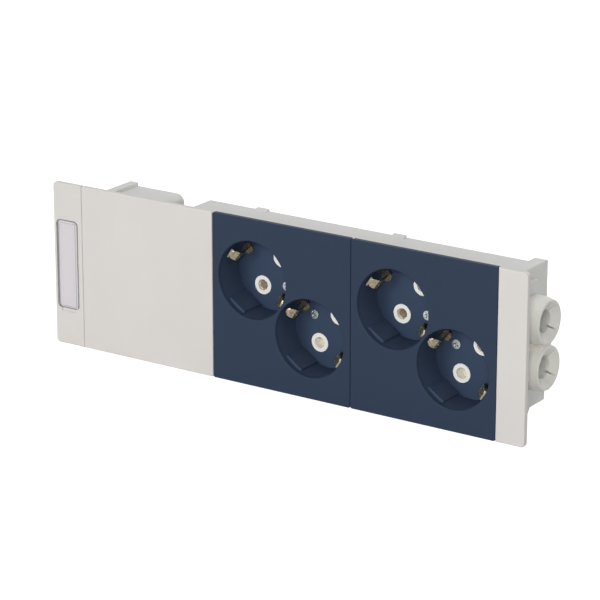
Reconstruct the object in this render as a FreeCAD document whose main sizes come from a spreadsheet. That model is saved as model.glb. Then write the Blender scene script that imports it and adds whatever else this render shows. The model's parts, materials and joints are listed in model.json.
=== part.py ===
import FreeCAD, Part
import Sketcher
import math
import os
import re

# Four-way socket outlet unit that snaps into the open front of wall trunking.
# X runs along the trunking, Y goes into it and Z is up. The origin is the middle of the
# unit in the plane where the front plates rest on the trunking's lips.

SIZES = {
    # Front plates, which stand in one row and share one face
    "front_height": 84.0,
    "left_trim_width": 17.5,
    "right_trim_width": 15.5,
    "plate_thickness": 2.5,
    "plate_relief": 0.6,
    "plate_corner": 1.0,
    "rim_clearance": 0.5,
    "seam_gap": 0.2,
    "edge_round": 0.6,
    "trim_corner": 2.0,
    "leg_width": 6.0,
    "leg_thickness": 1.5,
    "leg_length": 8.0,
    "leg_inset": 5.5,
    "leg_clearance": 0.1,
    # Label window in the left trim
    "window_width": 12.7,
    "window_height": 45.6,
    "window_corner": 2.0,
    "window_rise": 0.6,
    "window_rim": 1.1,
    "window_inset": 2.0,
    "window_clearance": 0.35,
    "notch_height": 1.6,
    "notch_depth": 0.5,
    "recess_depth": 1.3,
    "card_thickness": 0.3,
    "card_clearance": 0.1,
    # Socket wells, set in pairs on a slanting line through each module's middle
    "well_radius": 19.5,
    "well_depth": 17.5,
    "well_offset": 20.2,
    "well_tilt": 35.0,
    "well_margin": 3.7,
    "well_wall": 1.4,
    "well_mouth_round": 0.5,
    "floor_thickness": 1.8,
    "key_width": 10.0,
    "key_height": 1.5,
    "key_drop": 2.7,
    "key_round": 0.8,
    # Pin holes, contacts and screws behind the well floors
    "pin_pitch": 19.0,
    "pin_hole_radius": 2.8,
    "ring_radius": 4.7,
    "ring_lip": 1.2,
    "ring_clearance": 0.15,
    "sleeve_radius": 3.4,
    "sleeve_bore": 2.4,
    "sleeve_slit": 0.7,
    "sleeve_clearance": 0.1,
    "barrel_wall": 1.7,
    "guide_thickness": 3.0,
    "guide_length": 60.0,
    "guide_height": 30.0,
    "guide_corner": 6.0,
    "block_plate": 2.5,
    "block_depth": 15.2,
    "screw_offset": 10.5,
    "screw_head_radius": 2.35,
    "screw_head_height": 1.2,
    "screw_sink": 1.0,
    "screw_radius": 1.4,
    "screw_length": 11.0,
    "screw_slot": 0.8,
    "screw_cross": 3.2,
    "screw_clearance": 0.1,
    "screw_post_wall": 1.8,
    # Shutters behind the line pin holes
    "shutter_length": 6.4,
    "shutter_width": 7.0,
    "shutter_thickness": 1.6,
    "shutter_travel": 5.8,
    "shutter_clearance": 0.2,
    "shutter_ramp": 1.2,
    "spring_length": 7.8,
    "spring_strip": 0.35,
    "spring_reach": 2.3,
    "spring_height": 1.3,
    # Brass strips
    "strap_thickness": 1.0,
    "strap_width": 6.0,
    "strap_end": 1.0,
    "clip_radius": 16.7,
    "clip_thickness": 0.8,
    "clip_width": 5.4,
    "clip_waist": 2.2,
    "clip_notch": 4.6,
    "clip_bulge": 1.8,
    "clip_curl": 3.6,
    "clip_lead": 3.05,
    "clip_drop": 3.1,
    "clip_bend": 2.0,
    "clip_tip_round": 1.8,
    "clip_dimple": 0.6,
    "clip_foot": 0.7,
    "clip_clearance": 0.4,
    "rail_thickness": 1.0,
    "rail_width": 6.0,
    "rail_overhang": 5.0,
    "rail_rib_depth": 3.0,
    # Frame and boxes behind the plates
    "end_inset": 14.75,
    "frame_clearance": 0.4,
    "frame_depth": 17.5,
    "frame_wall": 1.6,
    "frame_floor": 1.6,
    "tongue_length": 9.0,
    "tongue_width": 12.0,
    "tongue_thickness": 3.0,
    "tongue_inset": 12.0,
    "lug_width": 5.0,
    "lug_height": 1.5,
    "lug_length": 4.2,
    "tray_height": 64.4,
    "tray_wall": 1.8,
    "rear_wall": 2.0,
    "rib_thickness": 2.0,
    "flange_height": 68.0,
    "flange_thickness": 1.8,
    "snap_width": 7.0,
    "snap_rise": 1.2,
    "snap_length": 5.0,
    "terminal_box_width": 33.5,
    "box_gap": 16.5,
    "box_corner": 4.2,
    "box_lip": 4.7,
    "cap_overlap": 6.6,
    "cap_height": 68.8,
    "cap_clearance": 0.2,
    "end_wall": 2.0,
    "hook_drop": 2.9,
    "hook_length": 11.6,
    "guard_height": 9.0,
    "guard_width": 10.0,
    "guard_rise": 3.0,
    # Cable entries through the end walls
    "entry_pitch": 22.3,
    "entry_depth": 23.4,
    "entry_length": 12.2,
    "collar_radius": 11.6,
    "collar_length": 8.0,
    "mouth_radius": 10.6,
    "mouth_wall": 1.1,
    "mouth_round": 0.5,
    "cable_radius": 5.5,
    "finger_thickness": 2.0,
    "throat_depth": 9.4,
    "neck_radius": 8.5,
    "neck_wall": 1.2,
    "neck_clearance": 0.1,
    "lip_radius": 9.2,
    "lip_thickness": 0.8,
    "slit_width": 0.9,
    "slit_reach": 8.8,
    "slit_turn": 40.0,
    "saddle_width": 8.0,
    "saddle_height": 2.6,
    "saddle_length": 11.0,
    "web_width": 16.0,
    "web_height": 6.0,
    "web_length": 6.0,
    # Terminals and inner wires in the connection space
    "terminal_inset": 7.0,
    "terminal_length": 14.0,
    "terminal_pitch": 14.0,
    "terminal_depth": 16.0,
    "terminal_level": 9.0,
    "terminal_sleeve": 3.4,
    "terminal_bore": 1.8,
    "terminal_screw": 1.6,
    "terminal_screw_length": 4.8,
    "terminal_screw_inset": 3.5,
    "wire_radius": 1.5,
    "wire_bend": 5.0,
    "wire_lead": 5.5,
    "wire_grip": 6.0,
    "wire_level": 9.0,
    "wire_spacing": 7.0,
    "line_landing": 12.0,
}

# Places worked out from the sizes, as formulas
TILT = "well_tilt * 1 deg"
MODULE_WIDTH = f"(2 * (well_offset * cos({TILT}) + well_radius + well_margin))"
FRONT_LENGTH = f"(left_trim_width + 3 * {MODULE_WIDTH} + right_trim_width)"
RIGHT = f"({FRONT_LENGTH} / 2)"
LEFT = f"(-{RIGHT})"
BLANK_LEFT = f"({LEFT} + left_trim_width)"
SOCKETS_LEFT = f"({BLANK_LEFT} + {MODULE_WIDTH})"
MODULE_SEAM = f"({SOCKETS_LEFT} + {MODULE_WIDTH})"
SOCKETS_RIGHT = f"({MODULE_SEAM} + {MODULE_WIDTH})"
MODULE_CENTRES = {
    1: f"({SOCKETS_LEFT} + {MODULE_WIDTH} / 2)",
    2: f"({MODULE_SEAM} + {MODULE_WIDTH} / 2)",
}
HALF_SEAM = "seam_gap / 2"
FRONT = "(-plate_thickness)"
HALF_FRONT = "(front_height / 2)"
RELIEF_FRONT = "(-plate_relief)"
PLATE_INSIDE = "(-plate_relief - edge_round)"
END = f"({RIGHT} - end_inset)"
ROOM_TOP = f"(well_offset * sin({TILT}) + well_radius + well_wall + frame_clearance)"
FRAME_TOP = f"({ROOM_TOP} + frame_wall)"
RELIEF_TOP = f"({FRAME_TOP} + rim_clearance)"
BOX_RIGHT = f"(-{END} + terminal_box_width)"
TRAY_LEFT = f"({BOX_RIGHT} + box_gap)"
TRAY_RIGHT = f"({END} - end_wall - cap_clearance)"
TRAY_TOP = "(tray_height / 2)"

# Depths of the layers behind a well floor
FLOOR = "(well_depth - plate_thickness)"
STRAP_FRONT = f"({FLOOR} + floor_thickness)"
GUIDE_FRONT = f"({STRAP_FRONT} + strap_thickness)"
BLOCK_FRONT = f"({GUIDE_FRONT} + guide_thickness)"
RAIL_FRONT = f"({BLOCK_FRONT} + block_depth)"
RAIL_REAR = f"({RAIL_FRONT} + rail_thickness)"
REAR_INNER = f"({RAIL_REAR} + rail_rib_depth)"
HOUSING_DEPTH = f"({REAR_INNER} + rear_wall)"

# Pin places in the row, measured from a module's middle
OUTER_PIN_RISE = f"(well_offset * sin({TILT}) + pin_pitch / 2 * cos({TILT}))"
OUTER_PIN_SHIFT = f"(well_offset * cos({TILT}) - pin_pitch / 2 * sin({TILT}))"
INNER_PIN_RISE = f"(well_offset * sin({TILT}) - pin_pitch / 2 * cos({TILT}))"
INNER_PIN_SHIFT = f"(well_offset * cos({TILT}) + pin_pitch / 2 * sin({TILT}))"
STRAP_REACH = "(well_offset + clip_radius + strap_end)"
STRAP_SHIFT = f"({STRAP_REACH} * cos({TILT}))"
STRAP_RISE = f"({STRAP_REACH} * sin({TILT}))"
SCREW_PLACE = "(well_offset - screw_offset)"
CLIP_TIP = f"({FRONT} + clip_drop)"
CLIP_CREST = f"({CLIP_TIP} + clip_lead)"

# Landing places of the inner wires, counted to the right from the tray's left end
LINE_LANDING = f"({TRAY_LEFT} + line_landing)"
EARTH_LANDING = f"({LINE_LANDING} + wire_spacing)"
NEUTRAL_LANDING = f"({EARTH_LANDING} + wire_spacing)"
TERMINAL_LEFT = f"(-{END} + terminal_inset)"
TERMINAL_RIGHT = f"({TERMINAL_LEFT} + terminal_length)"
TERMINAL_FRONT = f"({REAR_INNER} - terminal_depth)"
TERMINAL_AXIS = f"({REAR_INNER} - terminal_level)"

WORD = re.compile(r"[a-z][a-z_]*")
PLANE_SIDE = {"XY": 1, "XZ": -1, "YZ": 1}
DEPTH_AXIS = FreeCAD.Vector(0, 1, 0)

doc = FreeCAD.newDocument("trunking_socket_outlet")
sheet = doc.addObject("Spreadsheet::Sheet", "sizes")
for row, (size_name, number) in enumerate(SIZES.items(), 1):
    sheet.set(f"A{row}", size_name)
    sheet.set(f"B{row}", str(number))
    sheet.setAlias(f"B{row}", size_name)
doc.recompute()
parts = []


def in_sheet(formula):
    """The formula with each size name pointing at its cell."""
    return WORD.sub(lambda word: f"sizes.{word.group()}" if word.group() in SIZES else word.group(), formula)


def bind(item, prop, formula):
    item.setExpression(prop, in_sheet(formula))


def keep(item, name):
    """Mark an object as a finished piece of the unit."""
    item.Label = name
    parts.append(item)
    return item


def new_body(name):
    return doc.addObject("PartDesign::Body", name)


def origin_part(body, role):
    return next(item for item in body.Origin.OriginFeatures if item.Role == role)


def draw(body, plane, level, tilt="0"):
    """A sketch on one of the body's planes, at a level along the plane's axis."""
    drawing = body.newObject("Sketcher::SketchObject", f"{body.Name}_sketch")
    drawing.AttachmentSupport = (origin_part(body, f"{plane}_Plane"), "")
    drawing.MapMode = "FlatFace"
    bind(drawing, "AttachmentOffset.Base.z", f"{PLANE_SIDE[plane]} * ({level})")
    bind(drawing, "AttachmentOffset.Rotation.Angle", f"-({tilt})")
    return drawing


def fix_point(drawing, shape, point, across, up):
    for direction, formula in (("DistanceX", across), ("DistanceY", up)):
        place = drawing.addConstraint(Sketcher.Constraint(direction, -1, 1, shape, point, 1.0))
        bind(drawing, f"Constraints[{place}]", formula)


def circle(drawing, across, up, radius):
    start = Part.Circle(FreeCAD.Vector(1, 1, 0), FreeCAD.Vector(0, 0, 1), 1)
    shape = drawing.addGeometry(start)
    fix_point(drawing, shape, 3, across, up)
    place = drawing.addConstraint(Sketcher.Constraint("Radius", shape, 1.0))
    bind(drawing, f"Constraints[{place}]", radius)


def outline(drawing, corners):
    """A closed outline of straight sides through corners given as pairs of formulas."""
    first = drawing.GeometryCount
    count = len(corners)
    turns = [2 * math.pi * step / count for step in range(count)]
    spots = [FreeCAD.Vector(10 * math.cos(turn), 10 * math.sin(turn), 0) for turn in turns]
    for step in range(count):
        drawing.addGeometry(Part.LineSegment(spots[step], spots[(step + 1) % count]))
    for step in range(count):
        after = first + (step + 1) % count
        drawing.addConstraint(Sketcher.Constraint("Coincident", first + step, 2, after, 1))
    for step, (across, up) in enumerate(corners):
        fix_point(drawing, first + step, 1, across, up)


def rectangle(drawing, left, right, low, high):
    outline(drawing, [(left, low), (right, low), (right, high), (left, high)])


def faces_backward(drawing):
    normal = drawing.Placement.Rotation.multVec(FreeCAD.Vector(0, 0, 1))
    return normal.x + normal.y + normal.z < 0


def pad(body, drawing, length):
    """Grow a drawing towards the positive side of its plane's axis."""
    doc.recompute()
    feature = body.newObject("PartDesign::Pad", f"{body.Name}_pad")
    feature.Profile = drawing
    feature.Reversed = faces_backward(drawing)
    bind(feature, "Length", length)
    doc.recompute()
    return feature


def pocket(body, drawing, length):
    """Cut a drawing towards the positive side of its plane's axis."""
    doc.recompute()
    before = body.Shape.Volume
    feature = body.newObject("PartDesign::Pocket", f"{body.Name}_pocket")
    feature.Profile = drawing
    feature.Reversed = not faces_backward(drawing)
    bind(feature, "Length", length)
    doc.recompute()
    if not body.Shape.Volume < before:
        raise ValueError(f"{feature.Name} cuts nothing")
    return feature


def mirror(body, features, role):
    """Repeat features on the other side of one of the body's own planes."""
    feature = body.newObject("PartDesign::Mirrored", f"{body.Name}_mirror")
    feature.Originals = features
    feature.MirrorPlane = (origin_part(body, role), [""])
    body.Tip = feature
    doc.recompute()
    return feature


def edges_where(shape, test):
    return [f"Edge{place}" for place, edge in enumerate(shape.Edges, 1) if test(edge.BoundBox)]


def round_edges(body, edges, radius):
    base = body.Tip
    feature = body.newObject("PartDesign::Fillet", f"{body.Name}_fillet")
    feature.Base = (base, edges)
    bind(feature, "Radius", radius)
    body.Tip = feature
    doc.recompute()
    return feature


def close_to(first, second):
    return abs(first - second) < 1e-4


def at_front(shape):
    """Edges that lie in the shape's foremost plane."""
    front = shape.BoundBox.YMin
    return edges_where(shape, lambda box: close_to(box.YMax, front))


def along_depth(shape):
    """Straight edges that run along Y."""
    return edges_where(shape, lambda box: close_to(box.XMin, box.XMax) and close_to(box.ZMin, box.ZMax))


def edge_box(shape, edge):
    return shape.getElement(edge).BoundBox


def place_in_module(item, module, tilted):
    """Set a piece at a module's middle, turned to the slanting line of its wells."""
    item.Placement = FreeCAD.Placement(FreeCAD.Vector(), FreeCAD.Rotation(DEPTH_AXIS, 10))
    bind(item, "Placement.Rotation.Angle", "well_tilt" if tilted else "0")
    bind(item, "Placement.Base.x", MODULE_CENTRES[module])


def solid_rod(name, radius, length, axis, x="0", y="0", z="0"):
    """A cylinder that starts at a point and runs along +X or +Y."""
    turn = {"X": FreeCAD.Rotation(DEPTH_AXIS, 90), "Y": FreeCAD.Rotation(FreeCAD.Vector(1, 0, 0), -90)}
    rod = doc.addObject("Part::Cylinder", name)
    rod.Placement = FreeCAD.Placement(FreeCAD.Vector(), turn[axis])
    bind(rod, "Radius", radius)
    bind(rod, "Height", length)
    for letter, formula in (("x", x), ("y", y), ("z", z)):
        bind(rod, f"Placement.Base.{letter}", formula)
    return rod


def solid_box(name, x, y, z):
    """A block between a low and a high formula on each axis."""
    block = doc.addObject("Part::Box", name)
    for prop, letter, (low, high) in (("Length", "x", x), ("Width", "y", y), ("Height", "z", z)):
        bind(block, prop, f"({high}) - ({low})")
        bind(block, f"Placement.Base.{letter}", low)
    return block


def cut(name, base, tools):
    tool = tools[0]
    if len(tools) > 1:
        tool = doc.addObject("Part::MultiFuse", f"{name}_tools")
        tool.Shapes = tools
    result = doc.addObject("Part::Cut", name)
    result.Base = base
    result.Tool = tool
    return result


def group(name, items):
    result = doc.addObject("Part::Compound", name)
    result.Links = items
    return result


def relieve(body, left, right):
    """Step a plate's back to the frame's rim, so that only its border rests on the trunking."""
    drawing = draw(body, "XZ", RELIEF_FRONT)
    rectangle(drawing, left, right, f"-{RELIEF_TOP}", RELIEF_TOP)
    pocket(body, drawing, "plate_relief")


def add_plate(body, left, right):
    """A front plate with a soft edge all round its face."""
    drawing = draw(body, "XZ", FRONT)
    rectangle(drawing, left, right, f"-{HALF_FRONT}", HALF_FRONT)
    pad(body, drawing, "plate_thickness")
    round_edges(body, along_depth(body.Shape), "plate_corner")
    round_edges(body, at_front(body.Shape), "edge_round")
    relieve(body, left, right)


def add_legs(body, left, right):
    """Four spring legs that grip the long walls of the frame from inside."""
    drawing = draw(body, "XZ", PLATE_INSIDE)
    outer = f"({ROOM_TOP} - leg_clearance)"
    for low, high in ((f"{outer} - leg_thickness", outer), (f"-{outer}", f"-{outer} + leg_thickness")):
        rectangle(drawing, f"{left} + leg_inset", f"{left} + leg_inset + leg_width", low, high)
        rectangle(drawing, f"{right} - leg_inset - leg_width", f"{right} - leg_inset", low, high)
    pad(body, drawing, f"leg_length - {PLATE_INSIDE}")


def make_base_frame():
    body = new_body("base_frame")
    drawing = draw(body, "XZ", RELIEF_FRONT)
    rectangle(drawing, f"-{END}", END, f"-{FRAME_TOP}", FRAME_TOP)
    pad(body, drawing, f"frame_depth - {RELIEF_FRONT}")
    # Three rooms behind the plates, split by a rib at each seam between socket plates
    drawing = draw(body, "XZ", RELIEF_FRONT)
    half_rib = "frame_wall / 2"
    rooms = (
        (f"-{END} + end_wall", f"{SOCKETS_LEFT} - {half_rib}"),
        (f"{SOCKETS_LEFT} + {half_rib}", f"{MODULE_SEAM} - {half_rib}"),
        (f"{MODULE_SEAM} + {half_rib}", f"{END} - end_wall"),
    )
    for left, right in rooms:
        rectangle(drawing, left, right, f"-{ROOM_TOP}", ROOM_TOP)
    pocket(body, drawing, f"frame_depth - frame_floor - {RELIEF_FRONT}")
    # The floor stays only between the two boxes
    drawing = draw(body, "XZ", "frame_depth - frame_floor")
    rectangle(drawing, f"-{END} + end_wall", f"{BOX_RIGHT} - tray_wall", f"-{ROOM_TOP}", ROOM_TOP)
    rectangle(drawing, f"{TRAY_LEFT} + tray_wall", f"{END} - end_wall", f"-{ROOM_TOP}", ROOM_TOP)
    pocket(body, drawing, "frame_floor")
    # A rim between the two boxes, in line with their flanges
    drawing = draw(body, "XZ", "frame_depth")
    for low, high in ((ROOM_TOP, FRAME_TOP), (f"-{FRAME_TOP}", f"-{ROOM_TOP}")):
        rectangle(drawing, f"{BOX_RIGHT} + cap_clearance", f"{TRAY_LEFT} - cap_clearance", low, high)
    pad(body, drawing, "flange_thickness")
    # Half-round notches where the cable entries pass the end walls
    drawing = draw(body, "YZ", f"-{END}")
    for side in ("", "-"):
        circle(drawing, "entry_depth", f"{side}entry_pitch / 2", "neck_radius + neck_clearance")
    notches = pocket(body, drawing, "end_wall")
    mirror(body, [notches], "YZ_Plane")
    # Tongues that carry the end trims
    drawing = draw(body, "XZ", "0")
    low = f"({FRAME_TOP} - tongue_inset - tongue_width / 2)"
    high = f"({FRAME_TOP} - tongue_inset + tongue_width / 2)"
    for left, right in ((END, f"{END} + tongue_length"), (f"-{END} - tongue_length", f"-{END}")):
        rectangle(drawing, left, right, low, high)
        rectangle(drawing, left, right, f"-{high}", f"-{low}")
    pad(body, drawing, "tongue_thickness")
    # Snap lugs on the top corners, sloping down towards the rear
    drawing = draw(body, "YZ", f"{END} - lug_width")
    rear = "frame_depth"
    lug_front = f"({rear} - lug_length)"
    crest = f"({FRAME_TOP} + lug_height)"
    outline(drawing, [
        (lug_front, f"{FRAME_TOP} - frame_wall / 2"),
        (rear, f"{FRAME_TOP} - frame_wall / 2"),
        (rear, f"{FRAME_TOP} + lug_height / 2"),
        (lug_front, crest),
    ])
    lug = pad(body, drawing, "lug_width")
    mirror(body, [lug], "YZ_Plane")
    keep(body, "base_frame")


def make_socket_housing():
    body = new_body("socket_housing")
    drawing = draw(body, "XZ", "frame_depth")
    rectangle(drawing, TRAY_LEFT, TRAY_RIGHT, f"-{TRAY_TOP}", TRAY_TOP)
    pad(body, drawing, f"{HOUSING_DEPTH} - frame_depth")
    rear = body.Shape.BoundBox.YMax
    round_edges(body, edges_where(body.Shape, lambda box: close_to(box.YMin, rear)), "edge_round")
    drawing = draw(body, "XZ", "frame_depth")
    flange_right = f"({END} - cap_overlap - cap_clearance)"
    rectangle(drawing, TRAY_LEFT, flange_right, "-flange_height / 2", "flange_height / 2")
    pad(body, drawing, "flange_thickness")
    drawing = draw(body, "XZ", "frame_depth")
    inner_top = f"({TRAY_TOP} - tray_wall)"
    rectangle(drawing, f"{TRAY_LEFT} + tray_wall", f"{END}", f"-{inner_top}", inner_top)
    pocket(body, drawing, f"{REAR_INNER} - frame_depth")
    # Ribs on the rear wall that hold the rails against the contact blocks
    drawing = draw(body, "XZ", RAIL_REAR)
    rib_left = f"{LINE_LANDING} - rail_width / 2"
    rib_right = f"{MODULE_CENTRES[2]} + {INNER_PIN_SHIFT}"
    for height in (OUTER_PIN_RISE, "0", f"-{OUTER_PIN_RISE}"):
        low = f"{height} - rib_thickness / 2"
        high = f"{height} + rib_thickness / 2"
        rectangle(drawing, rib_left, rib_right, low, high)
    pad(body, drawing, f"{REAR_INNER} - {RAIL_REAR}")
    # Snap ramps on the long walls at the plates' seams, rising towards the rear
    for side in ("", "-"):
        for seam in (SOCKETS_LEFT, MODULE_SEAM):
            drawing = draw(body, "YZ", f"{seam} - snap_width / 2")
            foot = f"{side}({TRAY_TOP} - tray_wall / 2)"
            outline(drawing, [
                (f"{HOUSING_DEPTH} - snap_length", foot),
                (f"{HOUSING_DEPTH} - edge_round", foot),
                (f"{HOUSING_DEPTH} - edge_round", f"{side}({TRAY_TOP} + snap_rise)"),
                (f"{HOUSING_DEPTH} - snap_length", f"{side}{TRAY_TOP}"),
            ])
            pad(body, drawing, "snap_width")
    keep(body, "socket_housing")


def make_terminal_box():
    body = new_body("terminal_box")
    drawing = draw(body, "XZ", "frame_depth")
    rectangle(drawing, f"-{END}", BOX_RIGHT, f"-{TRAY_TOP}", TRAY_TOP)
    pad(body, drawing, f"{HOUSING_DEPTH} - frame_depth")
    right = body.Shape.BoundBox.XMax
    corners = [edge for edge in along_depth(body.Shape) if close_to(edge_box(body.Shape, edge).XMin, right)]
    round_edges(body, corners, "box_corner")
    drawing = draw(body, "XZ", "frame_depth")
    rectangle(drawing, f"-{END}", BOX_RIGHT, "-flange_height / 2", "flange_height / 2")
    pad(body, drawing, "flange_thickness")
    drawing = draw(body, "YZ", f"-{END}")
    rectangle(drawing, "frame_depth", HOUSING_DEPTH, "-flange_height / 2", "flange_height / 2")
    pad(body, drawing, "box_lip")
    drawing = draw(body, "XZ", "frame_depth")
    inner_top = f"({TRAY_TOP} - tray_wall)"
    rectangle(drawing, f"-{END} + end_wall", f"{BOX_RIGHT} - tray_wall", f"-{inner_top}", inner_top)
    pocket(body, drawing, f"{REAR_INNER} - frame_depth")
    inside = right - SIZES["tray_wall"]
    corners = [edge for edge in along_depth(body.Shape) if close_to(edge_box(body.Shape, edge).XMin, inside)]
    round_edges(body, corners, "box_corner - tray_wall")
    drawing = draw(body, "YZ", f"-{END}")
    for side in ("", "-"):
        circle(drawing, "entry_depth", f"{side}entry_pitch / 2", "neck_radius + neck_clearance")
    pocket(body, drawing, "end_wall")
    add_hook(body, f"-{END}", "flange_height")
    keep(body, "terminal_box")


def add_hook(body, left, height):
    """A fixed hook under the end wall that catches the trunking's lower lip, level at both ends."""
    drawing = draw(body, "YZ", left)
    root = f"(-{height} / 2 + end_wall)"
    foot = "(-cap_height / 2 + end_wall / 2)"
    tip = "(-cap_height / 2 - hook_drop)"
    outline(drawing, [
        ("frame_depth", root),
        ("frame_depth", tip),
        ("frame_depth + hook_length - hook_drop", tip),
        ("frame_depth + hook_length", foot),
        ("frame_depth + hook_length", root),
    ])
    pad(body, drawing, "end_wall")


def make_end_cap():
    body = new_body("end_cap")
    drawing = draw(body, "XZ", "frame_depth")
    rectangle(drawing, f"{END} - cap_overlap", END, "-cap_height / 2", "cap_height / 2")
    pad(body, drawing, f"{HOUSING_DEPTH} - frame_depth")
    box = body.Shape.BoundBox
    rear_corners = edges_where(
        body.Shape,
        lambda edge: close_to(edge.YMin, box.YMax) and close_to(edge.ZMin, edge.ZMax),
    )
    round_edges(body, rear_corners, "edge_round")
    drawing = draw(body, "XZ", "frame_depth")
    inside = f"({TRAY_TOP} + cap_clearance)"
    rectangle(drawing, f"{END} - cap_overlap", f"{END} - end_wall", f"-{inside}", inside)
    pocket(body, drawing, f"{HOUSING_DEPTH} - frame_depth")
    drawing = draw(body, "YZ", f"{END} - end_wall")
    for side in ("", "-"):
        circle(drawing, "entry_depth", f"{side}entry_pitch / 2", "neck_radius + neck_clearance")
    pocket(body, drawing, "end_wall")
    # Guard ribs above and below the pair of cable entries
    drawing = draw(body, "YZ", f"{END} - end_wall / 2")
    near = "(entry_pitch / 2 + neck_radius + neck_clearance + end_wall / 4)"
    for side in ("", "-"):
        rectangle(
            drawing, "frame_depth", "frame_depth + guard_width",
            f"{side}{near}", f"{side}({near} + guard_height)",
        )
    pad(body, drawing, "end_wall / 2 + guard_rise")
    # Relief in the ribs for the collars of the cable entries
    drawing = draw(body, "YZ", END)
    for side in ("", "-"):
        circle(drawing, "entry_depth", f"{side}entry_pitch / 2", "collar_radius + neck_clearance")
    pocket(body, drawing, "guard_rise")
    add_hook(body, f"{END} - end_wall", "cap_height")
    keep(body, "end_cap")


def make_nose(name, side, rise):
    """A round nose with a slit funnel, whose neck snaps into a hole of the end wall."""
    body = new_body(name)
    drawing = draw(body, "XY", "0")
    inner_end = "(-end_wall - neck_clearance - lip_thickness)"
    bore = "(neck_radius - neck_wall)"
    funnel = "(mouth_radius - mouth_wall - cable_radius)"
    slope = f"((entry_length - throat_depth) / {funnel})"
    throat = "(throat_depth - finger_thickness)"
    outline(drawing, [
        (inner_end, bore),
        (inner_end, "lip_radius"),
        ("-end_wall - neck_clearance", "lip_radius"),
        ("-end_wall - neck_clearance", "neck_radius"),
        ("0", "neck_radius"),
        ("0", "collar_radius"),
        ("collar_length", "collar_radius"),
        ("entry_length", "mouth_radius"),
        ("entry_length", "mouth_radius - mouth_wall"),
        ("throat_depth", "cable_radius"),
        (throat, "cable_radius"),
        (f"{throat} + ({bore} - cable_radius) * {slope}", bore),
    ])
    doc.recompute()
    turned = body.newObject("PartDesign::Revolution", f"{name}_turned")
    turned.Profile = drawing
    turned.ReferenceAxis = (origin_part(body, "X_Axis"), [""])
    turned.Angle = 360
    doc.recompute()
    mouth = body.Shape.BoundBox.XMax
    round_edges(body, edges_where(body.Shape, lambda edge: close_to(edge.XMin, mouth)), "mouth_round")
    # One slit from the throat out into the funnel, repeated four times round the axis
    drawing = draw(body, "YZ", throat, tilt="slit_turn")
    rectangle(drawing, "-slit_width / 2", "slit_width / 2", "0", "slit_reach")
    slit = pocket(body, drawing, f"entry_length - {throat}")
    fan = body.newObject("PartDesign::PolarPattern", f"{name}_fan")
    fan.Originals = [slit]
    fan.Axis = (origin_part(body, "X_Axis"), [""])
    fan.Angle = 360
    fan.Occurrences = 4
    body.Tip = fan
    doc.recompute()
    turn = 0 if side > 0 else 180
    body.Placement = FreeCAD.Placement(FreeCAD.Vector(), FreeCAD.Rotation(FreeCAD.Vector(0, 0, 1), turn))
    bind(body, "Placement.Base.x", f"{side} * {END}")
    bind(body, "Placement.Base.y", "entry_depth")
    bind(body, "Placement.Base.z", f"{rise} * entry_pitch / 2")
    return body


def make_cable_entry(side_name, side):
    """A soft double bushing: two noses joined by a saddle between them and a web at their foot."""
    pieces = [
        make_nose(f"nose_{side_name}_upper", side, 1),
        make_nose(f"nose_{side_name}_lower", side, -1),
    ]
    for name in ("saddle", "web"):
        ends = (END, f"{END} + {name}_length")
        if side < 0:
            ends = (f"-{END} - {name}_length", f"-{END}")
        depths = (f"entry_depth - {name}_width / 2", f"entry_depth + {name}_width / 2")
        heights = (f"-{name}_height / 2", f"{name}_height / 2")
        pieces.append(solid_box(f"{name}_{side_name}", ends, depths, heights))
    entry = doc.addObject("Part::MultiFuse", f"cable_entry_{side_name}")
    entry.Shapes = pieces
    entry.Refine = True
    keep(entry, f"cable_entry_{side_name}")


def add_trim(body, left, right, side):
    """An end trim with rounded outer corners and two short legs beside the frame's tongues."""
    drawing = draw(body, "XZ", FRONT)
    rectangle(drawing, left, right, f"-{HALF_FRONT}", HALF_FRONT)
    pad(body, drawing, "plate_thickness")
    box = body.Shape.BoundBox
    outer = box.XMax if side > 0 else box.XMin
    corners = [edge for edge in along_depth(body.Shape) if close_to(edge_box(body.Shape, edge).XMin, outer)]
    round_edges(body, corners, "trim_corner")
    round_edges(body, at_front(body.Shape), "edge_round")
    relief_end = f"{side} * ({END} + rim_clearance)"
    relieve(body, left if side > 0 else relief_end, relief_end if side > 0 else right)
    drawing = draw(body, "XZ", "-edge_round")
    near = f"{side} * ({END} + tongue_length - leg_width)"
    far = f"{side} * ({END} + tongue_length)"
    level = f"({FRAME_TOP} - tongue_inset - tongue_width / 2 - leg_clearance)"
    rectangle(drawing, near, far, f"{level} - leg_thickness", level)
    rectangle(drawing, near, far, f"-{level}", f"-{level} + leg_thickness")
    pad(body, drawing, "edge_round + tongue_thickness")


WINDOW_LEFT = f"({LEFT} + window_inset)"
WINDOW_RIGHT = f"({WINDOW_LEFT} + window_width)"


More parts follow.
